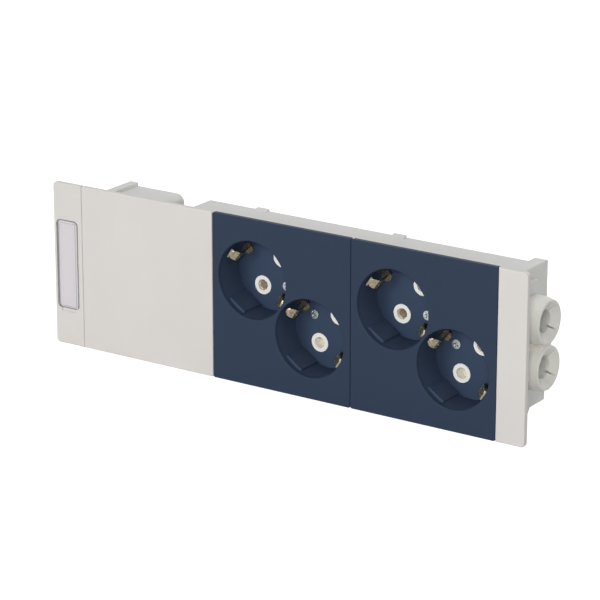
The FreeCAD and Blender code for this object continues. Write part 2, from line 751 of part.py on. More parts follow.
def make_end_trims():
    body = new_body("left_end_trim")
    add_trim(body, LEFT, f"{BLANK_LEFT} - {HALF_SEAM}", -1)
    drawing = draw(body, "XZ", FRONT)
    gap = "window_clearance"
    rectangle(
        drawing, f"{WINDOW_LEFT} - {gap}", f"{WINDOW_RIGHT} + {gap}",
        f"-window_height / 2 - {gap}", f"window_height / 2 + {gap}",
    )
    pocket(body, drawing, "recess_depth")
    bottom = SIZES["recess_depth"] - SIZES["plate_thickness"]
    corners = [edge for edge in along_depth(body.Shape) if close_to(edge_box(body.Shape, edge).YMax, bottom)]
    round_edges(body, corners, "window_corner + window_clearance")
    # A shallow notch below the window for a fingernail
    drawing = draw(body, "XZ", FRONT)
    rectangle(
        drawing, f"{WINDOW_LEFT} + window_corner", f"{WINDOW_RIGHT} - window_corner",
        f"-window_height / 2 - {gap} - notch_height", "-window_height / 2",
    )
    pocket(body, drawing, "notch_depth")
    keep(body, "left_end_trim")
    body = new_body("right_end_trim")
    add_trim(body, f"{SOCKETS_RIGHT} + {HALF_SEAM}", RIGHT, 1)
    keep(body, "right_end_trim")


def make_label():
    body = new_body("label_card")
    drawing = draw(body, "XZ", f"{FRONT} + recess_depth - card_thickness")
    rectangle(drawing, WINDOW_LEFT, WINDOW_RIGHT, "-window_height / 2", "window_height / 2")
    pad(body, drawing, "card_thickness")
    round_edges(body, along_depth(body.Shape), "window_corner")
    keep(body, "label_card")
    body = new_body("label_window")
    front = f"({FRONT} - window_rise)"
    drawing = draw(body, "XZ", front)
    rectangle(drawing, WINDOW_LEFT, WINDOW_RIGHT, "-window_height / 2", "window_height / 2")
    pad(body, drawing, "window_rise + recess_depth - card_thickness - card_clearance")
    round_edges(body, along_depth(body.Shape), "window_corner")
    drawing = draw(body, "XZ", front)
    rectangle(
        drawing, f"{WINDOW_LEFT} + window_rim", f"{WINDOW_RIGHT} - window_rim",
        "-window_height / 2 + window_rim", "window_height / 2 - window_rim",
    )
    pocket(body, drawing, "window_rise / 2")
    keep(body, "label_window")


def make_blank_cover():
    body = new_body("blank_cover")
    left = f"({BLANK_LEFT} + {HALF_SEAM})"
    right = f"({SOCKETS_LEFT} - {HALF_SEAM})"
    add_plate(body, left, right)
    add_legs(body, left, right)
    keep(body, "blank_cover")


def key_edges(shape):
    """The straight inner edges at the front ends of the guide keys."""
    level = SIZES["key_drop"] - SIZES["plate_thickness"]
    return [
        f"Edge{place}" for place, edge in enumerate(shape.Edges, 1)
        if edge.Curve.TypeId == "Part::GeomLine"
        and close_to(edge.BoundBox.YMin, level)
        and close_to(edge.BoundBox.YMax, level)
        and close_to(edge.Length, SIZES["key_width"])
    ]


def make_socket_cover(module):
    """A front plate with two moulded wells on the slanting line."""
    body = new_body(f"socket_cover_{module}")
    right = f"({MODULE_WIDTH} / 2 - {HALF_SEAM})"
    add_plate(body, f"-{right}", right)
    wells = ("-well_offset", "well_offset")
    drawing = draw(body, "XZ", PLATE_INSIDE, tilt="well_tilt")
    for across in wells:
        circle(drawing, across, "0", "well_radius + well_wall")
    pad(body, drawing, f"{STRAP_FRONT} - {PLATE_INSIDE}")
    drawing = draw(body, "XZ", FRONT, tilt="well_tilt")
    for across in wells:
        circle(drawing, across, "0", "well_radius")
    pocket(body, drawing, "well_depth")
    mouths = edges_where(
        body.Shape,
        lambda edge: close_to(edge.YMax, body.Shape.BoundBox.YMin)
        and close_to(edge.XLength, edge.ZLength)
        and edge.XLength < 2 * SIZES["well_radius"] + 1,
    )
    round_edges(body, mouths, "well_mouth_round")
    # Guide keys at the ends of each pin line
    drawing = draw(body, "XZ", f"{FRONT} + key_drop", tilt="well_tilt")
    for across in wells:
        for side in ("", "-"):
            rectangle(
                drawing, f"{across} - key_width / 2", f"{across} + key_width / 2",
                f"{side}(well_radius - key_height)", f"{side}(well_radius + well_wall / 4)",
            )
    pad(body, drawing, "well_depth - key_drop")
    round_edges(body, key_edges(body.Shape), "key_round")
    # Holes in the floors for the pin rings, the screws and the earth clips
    drawing = draw(body, "XZ", f"{FLOOR} - floor_thickness / 2", tilt="well_tilt")
    for across in wells:
        for side in ("", "-"):
            circle(drawing, across, f"{side}pin_pitch / 2", "ring_radius + ring_clearance")
            slot_near = f"{across} + {side}(clip_radius - clip_thickness - clip_clearance)"
            slot_far = f"{across} + {side}(clip_radius + clip_clearance)"
            half = "clip_width / 2 + clip_clearance"
            rectangle(drawing, slot_near, slot_far, f"-({half})", half)
    for side in ("", "-"):
        circle(drawing, f"{side}{SCREW_PLACE}", "0", "screw_radius + screw_clearance")
    pocket(body, drawing, "2 * floor_thickness")
    drawing = draw(body, "XZ", FLOOR, tilt="well_tilt")
    for side in ("", "-"):
        circle(drawing, f"{side}{SCREW_PLACE}", "0", "screw_head_radius + 2 * screw_clearance")
    pocket(body, drawing, "screw_sink")
    add_legs(body, f"-{right}", right)
    place_in_module(body, module, tilted=False)
    keep(body, f"socket_cover_{module}")


def rounded_plate(body, level, thickness):
    """The rounded rectangle that both inner mouldings of a module share."""
    drawing = draw(body, "XZ", level)
    rectangle(drawing, "-guide_length / 2", "guide_length / 2", "-guide_height / 2", "guide_height / 2")
    pad(body, drawing, thickness)
    round_edges(body, along_depth(body.Shape), "guide_corner")


def pin_circles(drawing, radius):
    for across in ("-well_offset", "well_offset"):
        for side in ("", "-"):
            circle(drawing, across, f"{side}pin_pitch / 2", radius)


SHUTTER_ROOM = "(shutter_length + spring_length + 2 * shutter_clearance)"


def make_pin_guide(module):
    """White insert whose rings line the pin holes and whose back holds the shutters."""
    body = new_body(f"pin_guide_{module}")
    rounded_plate(body, GUIDE_FRONT, "guide_thickness")
    drawing = draw(body, "XZ", FLOOR)
    pin_circles(drawing, "ring_radius")
    pad(body, drawing, f"{GUIDE_FRONT} - {FLOOR} + guide_thickness / 2")
    drawing = draw(body, "XZ", FLOOR)
    pin_circles(drawing, "pin_hole_radius")
    pocket(body, drawing, f"{BLOCK_FRONT} - {FLOOR}")
    # Wider bores for the neutral contacts, which reach up to the rings' lips
    drawing = draw(body, "XZ", f"{FLOOR} + ring_lip")
    for side in ("", "-"):
        circle(drawing, f"{side}well_offset", f"{side}pin_pitch / 2", "sleeve_radius + sleeve_clearance")
    pocket(body, drawing, f"{BLOCK_FRONT} - {FLOOR} - ring_lip")
    # Rooms for the shutters and their springs, open to the rear
    depth = "(shutter_thickness + 2 * shutter_clearance)"
    drawing = draw(body, "XZ", f"{BLOCK_FRONT} - {depth}")
    for side in ("", "-"):
        start = f"{side}(-well_offset - shutter_length / 2 - shutter_clearance)"
        stop = f"{side}(-well_offset - shutter_length / 2 - shutter_clearance + {SHUTTER_ROOM})"
        half = "(shutter_width / 2 + shutter_clearance)"
        rectangle(drawing, start, stop, f"{side}(pin_pitch / 2) - {half}", f"{side}(pin_pitch / 2) + {half}")
    pocket(body, drawing, depth)
    drawing = draw(body, "XZ", GUIDE_FRONT)
    for side in ("", "-"):
        circle(drawing, f"{side}{SCREW_PLACE}", "0", "screw_radius + screw_clearance")
    pocket(body, drawing, "guide_thickness")
    place_in_module(body, module, tilted=True)
    keep(body, f"pin_guide_{module}")


def make_contact_block(module):
    """Moulding with a barrel round each contact and a post for each cover screw."""
    body = new_body(f"contact_block_{module}")
    rounded_plate(body, BLOCK_FRONT, "block_plate")
    drawing = draw(body, "XZ", f"{BLOCK_FRONT} + block_plate / 2")
    pin_circles(drawing, "sleeve_radius + sleeve_clearance + barrel_wall")
    pad(body, drawing, "block_depth - block_plate / 2")
    drawing = draw(body, "XZ", f"{BLOCK_FRONT} + block_plate / 2")
    for side in ("", "-"):
        circle(drawing, f"{side}{SCREW_PLACE}", "0", "screw_radius + screw_clearance + screw_post_wall")
    pad(body, drawing, "screw_length - block_plate / 2")
    drawing = draw(body, "XZ", BLOCK_FRONT)
    pin_circles(drawing, "sleeve_radius + sleeve_clearance")
    pocket(body, drawing, "block_depth")
    drawing = draw(body, "XZ", BLOCK_FRONT)
    for side in ("", "-"):
        circle(drawing, f"{side}{SCREW_PLACE}", "0", "screw_radius + screw_clearance")
    pocket(body, drawing, "screw_length - screw_post_wall")
    place_in_module(body, module, tilted=True)
    keep(body, f"contact_block_{module}")


SHUTTER_FRONT = f"({BLOCK_FRONT} - shutter_clearance - shutter_thickness)"


def make_shutter(module, well, side):
    """A slide that closes the line pin hole, with a ramp that a pin pushes aside."""
    body = new_body(f"shutter_{module}_{well}")
    drawing = draw(body, "XY", "-shutter_width / 2")
    rear = f"({SHUTTER_FRONT} + shutter_thickness)"
    middle = f"{side} * -well_offset"
    tail = f"{middle} - {side} * shutter_length / 2"
    nose = f"{middle} + {side} * shutter_length / 2"
    outline(drawing, [
        (tail, rear),
        (nose, rear),
        (nose, SHUTTER_FRONT),
        (f"{tail} + {side} * shutter_ramp", SHUTTER_FRONT),
        (tail, f"{SHUTTER_FRONT} + shutter_ramp"),
    ])
    pad(body, drawing, "shutter_width")
    place_at_line_pin(body, module, side)
    keep(body, f"shutter_{module}_{well}")


def place_at_line_pin(item, module, side):
    """Turn a piece to the wells' line and lift it to the line pin of one well."""
    place_in_module(item, module, tilted=True)
    lift = f"{side} * pin_pitch / 2"
    bind(item, "Placement.Base.x", f"{MODULE_CENTRES[module]} + {lift} * sin({TILT})")
    bind(item, "Placement.Base.z", f"{lift} * cos({TILT})")


def make_shutter_spring(module, well, side):
    """A flat spring folded to and fro, which pushes the shutter back over its hole."""
    body = new_body(f"shutter_spring_{module}_{well}")
    drawing = draw(body, "XZ", f"{SHUTTER_FRONT} + (shutter_thickness - spring_height) / 2")
    runs = 4
    near = []
    far = []
    for run in range(runs):
        start = f"(-well_offset + shutter_length / 2 + (spring_length - spring_strip) * {run} / {runs - 1})"
        near.append(f"{side} * {start}")
        far.append(f"{side} * ({start} + spring_strip)")
    fold = "(spring_reach - spring_strip)"
    corners = [(near[0], "-spring_reach")]
    for run in range(0, runs, 2):
        corners += [(near[run], "spring_reach"), (far[run + 1], "spring_reach")]
        if run + 2 < runs:
            corners += [(far[run + 1], f"-{fold}"), (near[run + 2], f"-{fold}")]
    corners += [(far[-1], "-spring_reach")]
    for run in range(runs - 1, 0, -2):
        corners += [(near[run], "-spring_reach"), (near[run], fold)]
        corners += [(far[run - 1], fold), (far[run - 1], "-spring_reach")]
    outline(drawing, corners)
    pad(body, drawing, "spring_height")
    place_at_line_pin(body, module, side)
    keep(body, f"shutter_spring_{module}_{well}")


def clip_profile(across, inward):
    """Side view of an earth clip: foot, crest towards the well's middle and tip turned back."""
    wall_side = f"({across} - {inward} * clip_radius)"
    sheet_side = f"({inward} * clip_thickness)"
    spine = [
        ("0", f"{STRAP_FRONT} + strap_thickness / 2"),
        ("0", f"{FLOOR} - clip_clearance"),
        ("clip_bulge", CLIP_CREST),
        ("(clip_bulge - clip_curl)", CLIP_TIP),
    ]
    outer = [(f"{wall_side} + {inward} * {shift}", depth) for shift, depth in spine]
    inner = [(f"{across} + {sheet_side}", depth) for across, depth in reversed(outer)]
    return outer + inner


def make_earth_strap(module):
    """A flat strap along the wells' line with a spring clip at both ends of each well."""
    body = new_body(f"earth_strap_{module}")
    drawing = draw(body, "XZ", STRAP_FRONT)
    rectangle(drawing, f"-{STRAP_REACH}", STRAP_REACH, "-strap_width / 2", "strap_width / 2")
    for side in ("", "-"):
        circle(drawing, f"{side}{SCREW_PLACE}", "0", "screw_radius + screw_clearance")
    pad(body, drawing, "strap_thickness")
    drawing = draw(body, "XY", "-clip_width / 2")
    for across in ("-well_offset", "well_offset"):
        for inward in (1, -1):
            outline(drawing, clip_profile(across, inward))
    pad(body, drawing, "clip_width")
    crest = SIZES["clip_drop"] + SIZES["clip_lead"] - SIZES["plate_thickness"]
    bends = edges_where(body.Shape, lambda edge: close_to(edge.YMin, crest) and close_to(edge.YMax, crest))
    round_edges(body, bends, "clip_bend")
    # A narrow waist between the foot and the contact lobe, blunt lobe corners and a dimple
    drawing = draw(body, "YZ", f"-{STRAP_REACH}")
    blunt = "clip_tip_round * (1 - cos(45 deg))"
    edge = "clip_width / 2"
    for side in ("", "-"):
        circle(drawing, f"({CLIP_CREST} + {FLOOR}) / 2", f"{side}(clip_waist / 2 + clip_notch)", "clip_notch")
        outline(drawing, [
            (f"{CLIP_TIP} - clip_tip_round", f"{side}({edge} + clip_tip_round)"),
            (f"{CLIP_TIP} - clip_tip_round", f"{side}({edge} - clip_tip_round)"),
            (CLIP_TIP, f"{side}({edge} - clip_tip_round)"),
            (f"{CLIP_TIP} + {blunt}", f"{side}({edge} - {blunt})"),
            (f"{CLIP_TIP} + clip_tip_round", f"{side}({edge})"),
            (f"{CLIP_TIP} + clip_tip_round", f"{side}({edge} + clip_tip_round)"),
        ])
    circle(drawing, CLIP_CREST, "0", "clip_dimple")
    pocket(body, drawing, f"2 * {STRAP_REACH}")
    # Round feet that close the slots in the well floors
    drawing = draw(body, "XZ", f"{FLOOR} - clip_foot")
    for across in ("-well_offset", "well_offset"):
        for side in ("", "-"):
            circle(drawing, f"{across} + {side}clip_radius", "0", "clip_width / 2")
    pad(body, drawing, "clip_foot")
    place_in_module(body, module, tilted=True)
    return body


def make_earth_strip():
    """Both straps, the link between the modules and the tail to the earth wire in one strip."""
    link = new_body("earth_link")
    drawing = draw(link, "XZ", STRAP_FRONT)
    first = f"({MODULE_CENTRES[1]} + {STRAP_SHIFT})"
    second = f"({MODULE_CENTRES[2]} - {STRAP_SHIFT})"
    low = f"(-{STRAP_RISE} + strap_width / 3)"
    outline(drawing, [
        (f"{first} - strap_width", low),
        (f"{first} - strap_width / 4", f"{low} - strap_width / 4"),
        (f"{second} + strap_width", f"-{low}"),
        (f"{second} + strap_width / 4", f"-{low} + strap_width / 4"),
    ])
    pad(link, drawing, "strap_thickness")
    tail = new_body("earth_tail")
    drawing = draw(tail, "XZ", STRAP_FRONT)
    half = "strap_width / 2"
    join = f"({MODULE_CENTRES[1]} - {STRAP_SHIFT} + {half})"
    outline(drawing, [
        (f"{EARTH_LANDING} - {half}", f"-terminal_pitch - {half}"),
        (f"{EARTH_LANDING} + {half}", f"-terminal_pitch - {half}"),
        (f"{EARTH_LANDING} + {half}", f"{STRAP_RISE} - {half}"),
        (join, f"{STRAP_RISE} - {half}"),
        (join, f"{STRAP_RISE} + {half}"),
        (f"{EARTH_LANDING} - {half}", f"{STRAP_RISE} + {half}"),
    ])
    pad(tail, drawing, "strap_thickness")
    strip = doc.addObject("Part::MultiFuse", "earth_strip")
    strip.Shapes = [make_earth_strap(1), make_earth_strap(2), link, tail]
    strip.Refine = True
    keep(strip, "earth_strip")


def make_rails():
    """Stamped strips behind the contacts: a fork for line and a straight bar for neutral."""
    half = "rail_width / 2"
    body = new_body("line_rail")
    drawing = draw(body, "XZ", RAIL_FRONT)
    upper_end = f"{MODULE_CENTRES[2]} - {OUTER_PIN_SHIFT} + rail_overhang"
    lower_end = f"{MODULE_CENTRES[2]} + {OUTER_PIN_SHIFT} + rail_overhang"
    rise = OUTER_PIN_RISE
    outline(drawing, [
        (f"{LINE_LANDING} - {half}", f"-{rise} - {half}"),
        (lower_end, f"-{rise} - {half}"),
        (lower_end, f"-{rise} + {half}"),
        (f"{LINE_LANDING} + {half}", f"-{rise} + {half}"),
        (f"{LINE_LANDING} + {half}", f"{rise} - {half}"),
        (upper_end, f"{rise} - {half}"),
        (upper_end, f"{rise} + {half}"),
        (f"{LINE_LANDING} - {half}", f"{rise} + {half}"),
    ])
    pad(body, drawing, "rail_thickness")
    keep(body, "line_rail")
    body = new_body("neutral_rail")
    drawing = draw(body, "XZ", RAIL_FRONT)
    reach = f"({INNER_PIN_RISE} + {half})"
    right = f"{MODULE_CENTRES[2]} + {INNER_PIN_SHIFT} + rail_overhang"
    rectangle(drawing, f"{NEUTRAL_LANDING} - rail_overhang", right, f"-{reach}", reach)
    pad(body, drawing, "rail_thickness")
    keep(body, "neutral_rail")


def contact_sleeve(name, x, front, z):
    """A brass tube that grips one plug pin, slit at its open end."""
    length = f"{RAIL_FRONT} - {front}"
    tube = solid_rod(f"{name}_tube", "sleeve_radius", length, "Y", x, front, z)
    bore = solid_rod(f"{name}_bore", "sleeve_bore", length, "Y", x, front, z)
    slit = solid_box(
        f"{name}_slit",
        (f"{x} - sleeve_slit / 2", f"{x} + sleeve_slit / 2"),
        (front, f"{front} + ({length}) * 2 / 3"),
        (f"{z} - sleeve_radius", f"{z} + sleeve_radius"),
    )
    return cut(name, tube, [bore, slit])


def make_contacts():
    places = {
        "line": (OUTER_PIN_SHIFT, f"({BLOCK_FRONT} + shutter_clearance)", OUTER_PIN_RISE),
        "neutral": (INNER_PIN_SHIFT, f"({FLOOR} + ring_lip + sleeve_clearance)", INNER_PIN_RISE),
    }
    for pole, (shift, front, rise) in places.items():
        sleeves = []
        for module, centre in MODULE_CENTRES.items():
            for side in (-1, 1):
                name = f"{pole}_sleeve_{len(sleeves) + 1}"
                x = f"({centre} + {side} * {shift})"
                sleeves.append(contact_sleeve(name, x, front, f"({-side} * {rise})"))
        keep(group(f"{pole}_contacts", sleeves), f"{pole}_contacts")


def make_cover_screws():
    screws = []
    for module in MODULE_CENTRES:
        for side in ("", "-"):
            name = f"cover_screw_{len(screws) + 1}"
            x = f"{side}{SCREW_PLACE}"
            head_front = f"({FLOOR} + screw_sink - screw_head_height)"
            head = solid_rod(f"{name}_head", "screw_head_radius", "screw_head_height", "Y", x, head_front)
            slots = []
            for across, up in (("screw_cross", "screw_slot"), ("screw_slot", "screw_cross")):
                slots.append(solid_box(
                    f"{name}_slot_{len(slots) + 1}",
                    (f"{x} - {across} / 2", f"{x} + {across} / 2"),
                    (head_front, f"{head_front} + screw_head_height / 2"),
                    (f"-{up} / 2", f"{up} / 2"),
                ))
            shank_front = f"({FLOOR} + screw_sink)"
            shank = solid_rod(f"{name}_shank", "screw_radius", "screw_length", "Y", x, shank_front)
            screw = doc.addObject("Part::Fuse", name)
            screw.Base = cut(f"{name}_top", head, slots)
            screw.Tool = shank
            place_in_module(screw, module, tilted=True)
            screws.append(screw)
    keep(group("cover_screws", screws), "cover_screws")


def terminal_heights():
    return [f"({step} * terminal_pitch)" for step in (1, 0, -1)]


def terminal_screw_places():
    return [f"({TERMINAL_LEFT} + terminal_screw_inset)", f"({TERMINAL_RIGHT} - terminal_screw_inset)"]


def terminal_screw(name, x, z):
    """A slotted grub screw that presses on the wire in its sleeve."""
    front = f"({TERMINAL_AXIS} - wire_radius - terminal_screw_length)"
    shank = solid_rod(f"{name}_shank", "terminal_screw", "terminal_screw_length", "Y", x, front, z)
    slot = solid_box(
        f"{name}_slot",
        (f"{x} - screw_slot / 2", f"{x} + screw_slot / 2"),
        (front, f"{front} + screw_slot"),
        (f"{z} - terminal_screw", f"{z} + terminal_screw"),
    )
    return cut(name, shank, [slot])


def make_terminals():
    body = new_body("terminal_block")
    drawing = draw(body, "XZ", TERMINAL_FRONT)
    rectangle(drawing, TERMINAL_LEFT, TERMINAL_RIGHT, "-1.5 * terminal_pitch", "1.5 * terminal_pitch")
    pad(body, drawing, "terminal_depth")
    drawing = draw(body, "YZ", TERMINAL_LEFT)
    for height in terminal_heights():
        circle(drawing, TERMINAL_AXIS, height, "terminal_sleeve + sleeve_clearance")
    pocket(body, drawing, "terminal_length")
    drawing = draw(body, "XZ", TERMINAL_FRONT)
    for height in terminal_heights():
        for across in terminal_screw_places():
            circle(drawing, across, height, "terminal_screw + 4 * screw_clearance")
    pocket(body, drawing, f"{TERMINAL_AXIS} - {TERMINAL_FRONT}")
    keep(body, "terminal_block")
    sleeves = []
    screws = []
    hole_front = f"({TERMINAL_AXIS} - terminal_sleeve)"
    for pole, z in enumerate(terminal_heights(), 1):
        name = f"terminal_sleeve_{pole}"
        start = (TERMINAL_LEFT, TERMINAL_AXIS, z)
        tube = solid_rod(f"{name}_tube", "terminal_sleeve", "terminal_length", "X", *start)
        tools = [solid_rod(f"{name}_bore", "terminal_bore", "terminal_length", "X", *start)]
        for x in terminal_screw_places():
            radius = "terminal_screw + screw_clearance"
            hole = f"{name}_hole_{len(tools)}"
            tools.append(solid_rod(hole, radius, "terminal_sleeve", "Y", x, hole_front, z))
            screws.append(terminal_screw(f"terminal_screw_{len(screws) + 1}", x, z))
        sleeves.append(cut(name, tube, tools))
    keep(group("terminal_sleeves", sleeves), "terminal_sleeves")
    keep(group("terminal_screws", screws), "terminal_screws")


def quarter_turn(name, angle, x, y, z):
    """A quarter of a bent wire, centred on a point and starting at an angle from +X."""
    bend = doc.addObject("Part::Torus", name)
    bend.Angle3 = 90
    bend.Placement = FreeCAD.Placement(FreeCAD.Vector(), FreeCAD.Rotation(FreeCAD.Vector(0, 0, 1), angle))
    bind(bend, "Radius1", "wire_bend")
    bind(bend, "Radius2", "wire_radius")
    for letter, formula in (("x", x), ("y", y), ("z", z)):
        bind(bend, f"Placement.Base.{letter}", formula)
    return bend


def make_wires():
    """Insulated wires that rise over the wall of the terminal box and drop to the strips."""
    landings = {
        "line_wire": (1, LINE_LANDING, RAIL_FRONT),
        "neutral_wire": (0, NEUTRAL_LANDING, RAIL_FRONT),
        "earth_wire": (-1, EARTH_LANDING, STRAP_FRONT),
    }
    rise = f"({TERMINAL_RIGHT} + wire_lead)"
    low = f"({TERMINAL_AXIS} - wire_bend)"
    high = "(wire_level + wire_bend)"
    for name, (step, landing, depth) in landings.items():
        z = f"({step} * terminal_pitch)"
        runs = (
            ("X", "wire_grip + wire_lead - wire_bend", f"{TERMINAL_RIGHT} - wire_grip", TERMINAL_AXIS),
            ("Y", f"{low} - {high}", rise, high),
            ("X", f"{landing} - {rise} - 2 * wire_bend", f"{rise} + wire_bend", "wire_level"),
            ("Y", f"{depth} - {high}", landing, high),
        )
        turns = (
            (0, f"{rise} - wire_bend", low),
            (180, f"{rise} + wire_bend", high),
            (270, f"{landing} - wire_bend", high),
        )
        pieces = []
        for axis, length, x, y in runs:
            pieces.append(solid_rod(f"{name}_run_{len(pieces)}", "wire_radius", length, axis, x, y, z))
        for angle, x, y in turns:
            pieces.append(quarter_turn(f"{name}_bend_{angle}", angle, x, y, z))
        wire = doc.addObject("Part::MultiFuse", name)
        wire.Shapes = pieces
        wire.Refine = True
        keep(wire, name)


make_base_frame()
make_socket_housing()
make_terminal_box()
make_end_cap()
make_cable_entry("left", -1)
make_cable_entry("right", 1)
make_end_trims()
make_label()
make_blank_cover()
for module_number in MODULE_CENTRES:
    make_socket_cover(module_number)
    make_pin_guide(module_number)
    make_contact_block(module_number)
    for well_name, well_side in (("upper", 1), ("lower", -1)):
        make_shutter(module_number, well_name, well_side)
        make_shutter_spring(module_number, well_name, well_side)
make_earth_strip()
make_rails()
make_contacts()
make_cover_screws()
make_terminals()
make_wires()
doc.recompute()

for item in doc.Objects:
    if "Invalid" in item.State or "Error" in item.State:
        raise ValueError(f"{item.Label} did not build: {item.State}")
for piece in parts:
    if piece.Shape.isNull() or not piece.Shape.isValid():
        raise ValueError(f"{piece.Label} has no sound shape")
os.makedirs("parts", exist_ok=True)
for piece in parts:
    piece.Shape.exportStep(f"parts/{piece.Label}.step")
    print(f"{piece.Label}: {len(piece.Shape.Solids)} solids, {piece.Shape.Volume:.1f} mm3")
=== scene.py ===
import json
import math

import bpy
from mathutils import Matrix, Vector

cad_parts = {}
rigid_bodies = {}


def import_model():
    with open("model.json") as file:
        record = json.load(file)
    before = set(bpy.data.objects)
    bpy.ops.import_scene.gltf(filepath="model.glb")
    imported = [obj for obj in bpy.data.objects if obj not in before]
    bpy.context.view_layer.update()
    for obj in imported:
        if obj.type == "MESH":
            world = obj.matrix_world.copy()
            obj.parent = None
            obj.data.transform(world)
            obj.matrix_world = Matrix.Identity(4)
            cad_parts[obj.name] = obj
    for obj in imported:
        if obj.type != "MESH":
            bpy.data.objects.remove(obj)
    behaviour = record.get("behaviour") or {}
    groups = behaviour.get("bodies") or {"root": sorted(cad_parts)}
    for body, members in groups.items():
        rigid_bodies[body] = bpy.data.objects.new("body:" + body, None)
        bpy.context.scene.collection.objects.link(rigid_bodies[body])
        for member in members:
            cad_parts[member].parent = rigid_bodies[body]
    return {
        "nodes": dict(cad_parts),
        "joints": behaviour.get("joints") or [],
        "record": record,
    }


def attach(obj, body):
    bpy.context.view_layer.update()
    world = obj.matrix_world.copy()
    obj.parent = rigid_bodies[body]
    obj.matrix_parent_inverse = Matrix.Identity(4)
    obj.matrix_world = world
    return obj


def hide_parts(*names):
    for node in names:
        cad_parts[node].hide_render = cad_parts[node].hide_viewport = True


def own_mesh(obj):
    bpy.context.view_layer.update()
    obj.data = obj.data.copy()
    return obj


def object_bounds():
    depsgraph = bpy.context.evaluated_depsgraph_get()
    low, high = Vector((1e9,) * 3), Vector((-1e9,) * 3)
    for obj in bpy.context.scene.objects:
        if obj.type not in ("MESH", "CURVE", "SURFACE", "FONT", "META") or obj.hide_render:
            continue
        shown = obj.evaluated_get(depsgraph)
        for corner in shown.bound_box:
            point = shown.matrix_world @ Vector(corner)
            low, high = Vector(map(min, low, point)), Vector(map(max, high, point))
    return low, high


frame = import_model()
cad_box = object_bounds()
nodes = frame["nodes"]
materials = {}

# Heights of the finest relief, in metres
GRAIN_HEIGHT = 0.00005
LINE_HEIGHT = 0.00003

# Depths between which a plate's front tone turns into the tone of its sunk faces, which is painted
# light
FRONT_DEPTH = -0.0025
SUNK_DEPTH = 0.0005

# The camera that fits the photograph: angles in degrees, lengths in metres, lens in millimetres
CAMERA_TURN = 33.9377
CAMERA_LIFT = 18.1065
CAMERA_DISTANCE = 1.412449
CAMERA_SHIFT_RIGHT = 0.0102712
CAMERA_SHIFT_UP = 0.0044352
CAMERA_LENS = 177.678
PLATE_MIDDLE = Vector((0, -0.0025, 0))

# The floor's half width in metres, its glow where it is seen directly, and the light from all round
FLOOR_REACH = 4.0
FLOOR_GLOW = 0.85
FILL_LIGHT = 0.15


def add_node(tree, kind, **settings):
    """A shader node with its inputs set by name."""
    node = tree.nodes.new(kind)
    for name, setting in settings.items():
        node.inputs[name.replace("_", " ")].default_value = setting
    return node


def ramp(tree, source, low, high, start=0.3, stop=0.7):
    """Two colours blended by a texture's output."""
    tone = tree.nodes.new("ShaderNodeValToRGB")
    for element, place, colour in zip(tone.color_ramp.elements, (start, stop), (low, high)):
        element.position = place
        element.color = (*colour, 1)
    tree.links.new(source, tone.inputs["Fac"])
    return tone.outputs["Color"]


def scaled(colour, factor):
    """A colour made darker or lighter."""
    return [min(1, part * factor) for part in colour]


def spread(tree, source, low, high):
    """A texture's output spread over a range of numbers."""
    node = add_node(tree, "ShaderNodeMapRange", To_Min=low, To_Max=high)
    tree.links.new(source, node.inputs["Value"])
    return node.outputs["Result"]


def new_shader(name):
    """A new material for a slot: its node tree, its shader and the place on the object."""
    material = bpy.data.materials.new(name)
    material.use_nodes = True
    materials[name] = material
    tree = material.node_tree
    place = tree.nodes.new("ShaderNodeTexCoord").outputs["Object"]
    return tree, tree.nodes["Principled BSDF"], place


def noise(tree, place, scale, detail):
    """Cloudy noise."""
    node = add_node(tree, "ShaderNodeTexNoise", Scale=scale, Detail=detail)
    tree.links.new(place, node.inputs["Vector"])
    return node.outputs["Fac"]


def stretched(tree, place, scale):
    """The place on the object, stretched so that noise turns into lines or fibres."""
    node = add_node(tree, "ShaderNodeMapping", Scale=scale)
    tree.links.new(place, node.inputs["Vector"])
    return node.outputs["Vector"]


def part_y(tree, vector):
    """The part of a vector along the depth of the unit."""
    node = tree.nodes.new("ShaderNodeSeparateXYZ")
    tree.links.new(vector, node.inputs["Vector"])
    return node.outputs["Y"]


def bump(tree, shader, source, strength, distance):
    """Fine relief from a texture."""
    node = add_node(tree, "ShaderNodeBump", Strength=strength, Distance=distance)
    tree.links.new(source, node.inputs["Height"])
    tree.links.new(node.outputs["Normal"], shader.inputs["Normal"])


def plastic(name, colour, roughness, grain, depth, drift=0.015, milky=0.0, specular=0.4, sunk_painted_light=1.0):
    """Moulded plastic with a fine spark-eroded grain and a slight drift of tone.

    The last argument is painted light: the tone of the faces sunk behind the front, as a share of
    the front's, lifted to stand in for light reaching into them.
    """
    tree, shader, place = new_shader(name)
    cloud = noise(tree, place, 30.0, 2.0)
    tone = ramp(tree, cloud, scaled(colour, 1 - drift), scaled(colour, 1 + drift))
    # Painted light: the faces sunk behind the front get their tone scaled by the last argument
    sunk = add_node(tree, "ShaderNodeMapRange", From_Min=FRONT_DEPTH, From_Max=SUNK_DEPTH)
    sunk.inputs["To Min"].default_value = 1.0
    sunk.inputs["To Max"].default_value = sunk_painted_light
    tree.links.new(part_y(tree, place), sunk.inputs["Value"])
    shade = tree.nodes.new("ShaderNodeVectorMath")
    shade.operation = "SCALE"
    tree.links.new(tone, shade.inputs[0])
    tree.links.new(sunk.outputs["Result"], shade.inputs["Scale"])
    tree.links.new(shade.outputs["Vector"], shader.inputs["Base Color"])
    fine = noise(tree, place, grain, 2.0)
    gloss = spread(tree, fine, roughness - 0.07, roughness + 0.07)
    tree.links.new(gloss, shader.inputs["Roughness"])
    bump(tree, shader, fine, depth, GRAIN_HEIGHT)
    shader.inputs["Specular IOR Level"].default_value = specular
    shader.inputs["Subsurface Weight"].default_value = milky
    shader.inputs["Subsurface Radius"].default_value = (1.0, 0.95, 0.85)
    shader.inputs["Subsurface Scale"].default_value = 0.002


